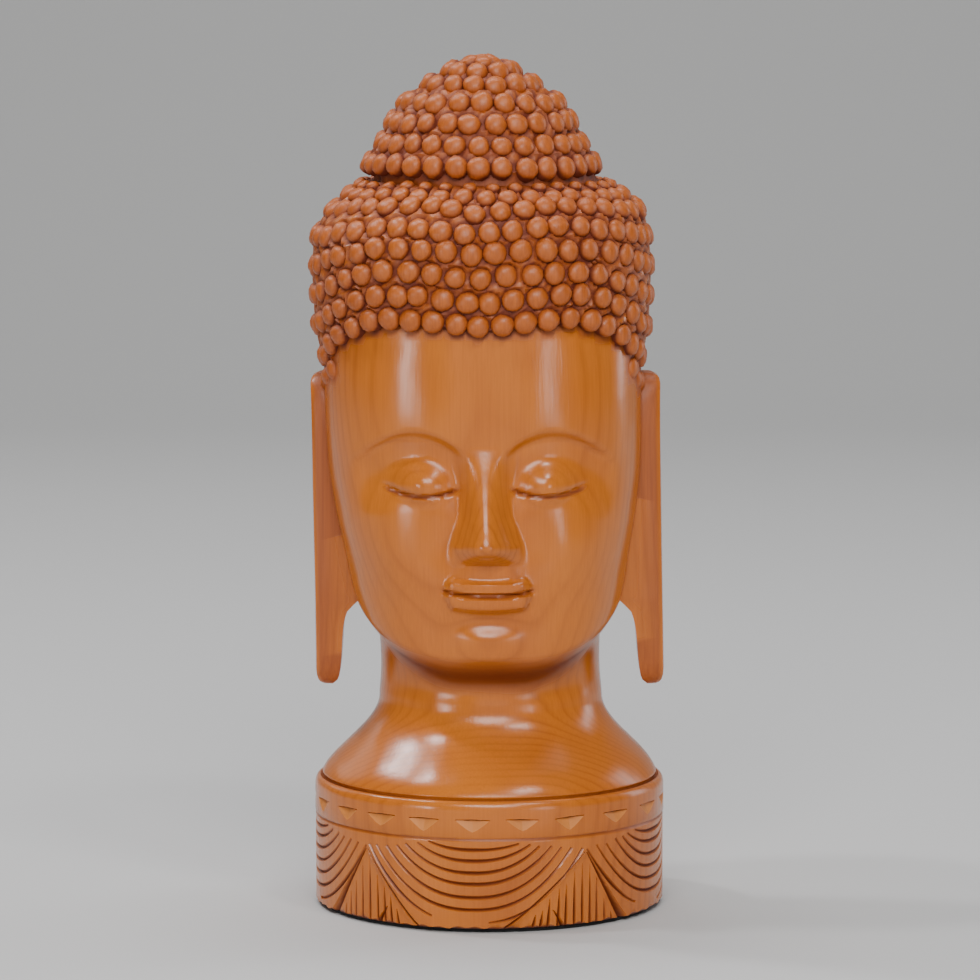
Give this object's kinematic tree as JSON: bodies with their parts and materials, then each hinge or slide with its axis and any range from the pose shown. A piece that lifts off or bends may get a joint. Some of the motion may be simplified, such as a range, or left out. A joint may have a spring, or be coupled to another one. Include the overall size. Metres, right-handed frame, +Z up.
{
  "type": "wooden buddha statue",
  "caption": "Carved wooden head with closed eyes, long ears, beaded hair and a beaded topknot, on a round foot with a chip-cut band and draped swags, standing on a black felt pad.",
  "frame": {"origin": "centre of the underside of the felt pad, where the statue stands", "axes": "+Z up through the topknot, the face looks along -Y, +X to the right of a viewer who faces it"},
  "size_m": [0.1063, 0.1051, 0.254],
  "materials": {
    "varnished_wood": "golden light wood, carved, glossy clear varnish",
    "black_felt": "black felt, matt"
  },
  "bodies": {
    "root": {"carved_head": "varnished_wood", "felt_pad": "black_felt"}
  },
  "joints": []
}
